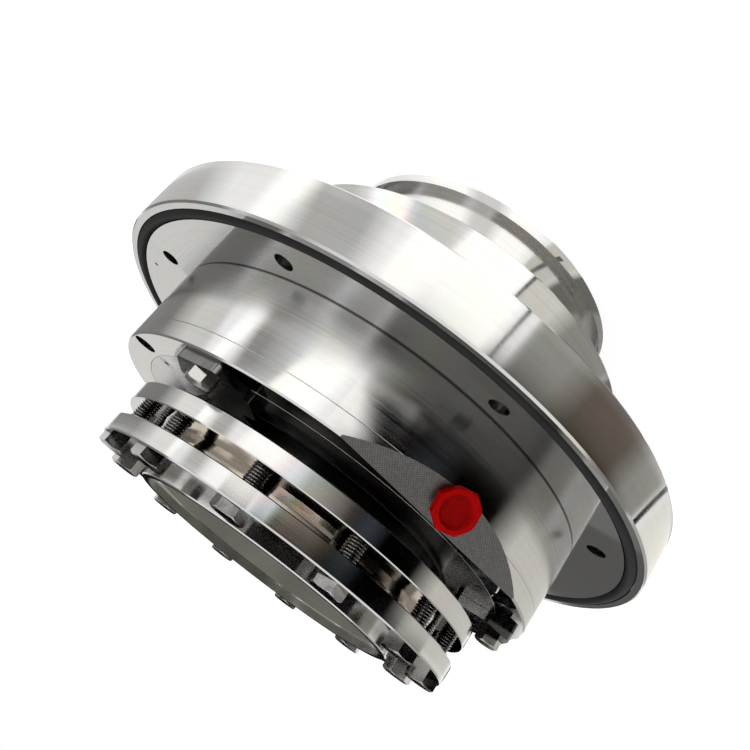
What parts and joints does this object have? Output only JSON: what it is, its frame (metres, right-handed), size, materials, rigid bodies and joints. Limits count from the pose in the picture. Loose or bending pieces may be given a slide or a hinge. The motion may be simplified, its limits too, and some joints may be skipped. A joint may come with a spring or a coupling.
{
  "type": "cartridge shaft seal",
  "caption": "Round steel cartridge shaft seal for a pump: bolted gland flange with face ring, polished housing, clamped shaft sleeve with locking disc, swing clips and a plugged port.",
  "frame": {"origin": "on the seal axis at the bottom face of the end collar", "axes": "+Z along the shaft from the wet end to the locking disc; the port faces -Y"},
  "size_m": [0.28, 0.28, 0.1795],
  "materials": {
    "polished_steel": "polished, turned",
    "plain_steel": "turned",
    "clip_steel": "milled",
    "bolt_steel": "satin",
    "spring_steel": "satin",
    "black_rubber": "matte",
    "red_plastic": "semi gloss",
    "face_ceramic": "lapped",
    "bush_plastic": "matte"
  },
  "bodies": {
    "gland": {"gland_flange": "polished_steel", "gland_spigot": "polished_steel", "flange_o_ring": "black_rubber", "flange_screws": "bolt_steel", "housing": "polished_steel", "housing_o_ring": "black_rubber", "cover_ring": "polished_steel", "cover_screws": "bolt_steel", "throttle_bush": "bush_plastic", "port_plug": "red_plastic", "clip_bolts": "bolt_steel", "stator_pins": "bolt_steel", "cone_springs": "spring_steel"},
    "stator": {"stationary_holder": "plain_steel", "stationary_face": "face_ceramic", "stator_o_ring": "black_rubber"},
    "rotor": {"shaft_sleeve": "polished_steel", "sleeve_o_ring": "black_rubber", "retaining_ring": "spring_steel", "rotary_holder": "plain_steel", "holder_set_screws": "bolt_steel", "drive_pins": "bolt_steel", "rotary_face": "face_ceramic", "rotary_o_ring": "black_rubber", "lock_ring_rear": "polished_steel", "lock_ring_front": "polished_steel", "lock_ring_inner": "plain_steel", "lock_bolts": "bolt_steel"},
    "setting_clip_a": {"clip_a": "clip_steel"},
    "setting_clip_b": {"clip_b": "clip_steel"},
    "setting_clip_c": {"clip_c": "clip_steel"}
  },
  "joints": [
    {"name": "rotor_turn", "type": "hinge", "parent": "gland", "child": "rotor", "pos_m": [0, 0, 0.1], "axis": [0, 0, 1], "continuous": true},
    {"name": "stator_slide", "type": "slide", "parent": "gland", "child": "stator", "axis": [0, 0, 1], "range_m": [0, 0.0018], "stiffness_N_per_m": 40000, "springref_m": -0.003, "deforming": ["cone_springs"]},
    {"name": "clip_a_swing", "type": "hinge", "parent": "gland", "child": "setting_clip_a", "pos_m": [0.0853, -0.04925, 0.14], "axis": [0, 0, 1], "range_deg": [0, 90]},
    {"name": "clip_b_swing", "type": "hinge", "parent": "gland", "child": "setting_clip_b", "pos_m": [-0.0853, -0.04925, 0.14], "axis": [0, 0, 1], "range_deg": [0, 90]},
    {"name": "clip_c_swing", "type": "hinge", "parent": "gland", "child": "setting_clip_c", "pos_m": [0, 0.0985, 0.14], "axis": [0, 0, 1], "range_deg": [0, 90]}
  ]
}
